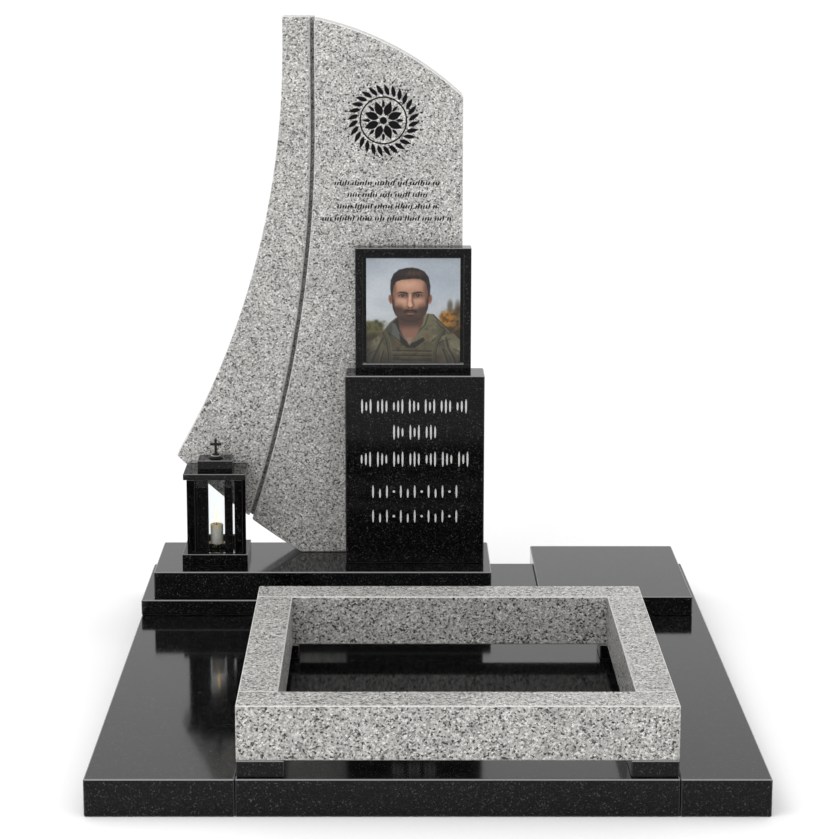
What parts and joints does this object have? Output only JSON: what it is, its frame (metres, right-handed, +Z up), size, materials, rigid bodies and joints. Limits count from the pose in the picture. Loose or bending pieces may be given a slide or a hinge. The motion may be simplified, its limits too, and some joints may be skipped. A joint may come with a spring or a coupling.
{
  "type": "granite grave memorial",
  "caption": "Grave memorial of polished black and light grey granite: paving, planter frame on feet, stele with a curved wing, name block with a portrait, and a small lantern.",
  "frame": {"origin": "middle of the footprint on the underside of the paving", "axes": "+Z up, -Y towards the front edge of the paving, +X to the right as seen from the front, +Y along the length of the grave"},
  "size_m": [1.43, 1.75, 1.5799],
  "materials": {
    "black_granite": "polished",
    "light_granite": "polished",
    "picture": "gloss",
    "glass": "clear",
    "bronze": "dark patina",
    "brass": "polished",
    "wax": "matte"
  },
  "bodies": {
    "root": {"paving_left": "black_granite", "paving_centre": "black_granite", "paving_right": "black_granite", "lower_tier": "black_granite", "upper_tier": "black_granite", "stand_slab": "black_granite", "name_block": "black_granite", "portrait_frame": "black_granite", "planter_foot_front_left": "black_granite", "planter_foot_front_right": "black_granite", "planter_foot_back_left": "black_granite", "planter_foot_back_right": "black_granite", "lantern_base": "black_granite", "lantern_wall_left": "black_granite", "lantern_wall_right": "black_granite", "lantern_upright_left": "black_granite", "lantern_upright_right": "black_granite", "lantern_sill": "black_granite", "lantern_roof": "black_granite", "lantern_cap": "black_granite", "stele_main": "light_granite", "stele_wing": "light_granite", "planter_rail_front": "light_granite", "planter_rail_back": "light_granite", "planter_rail_left": "light_granite", "planter_rail_right": "light_granite", "portrait_plate": "picture", "lantern_pane_front": "glass", "lantern_pane_back": "glass", "lantern_finial": "bronze", "lantern_cross": "bronze", "candle_dish": "brass", "candle": "wax"}
  },
  "joints": []
}
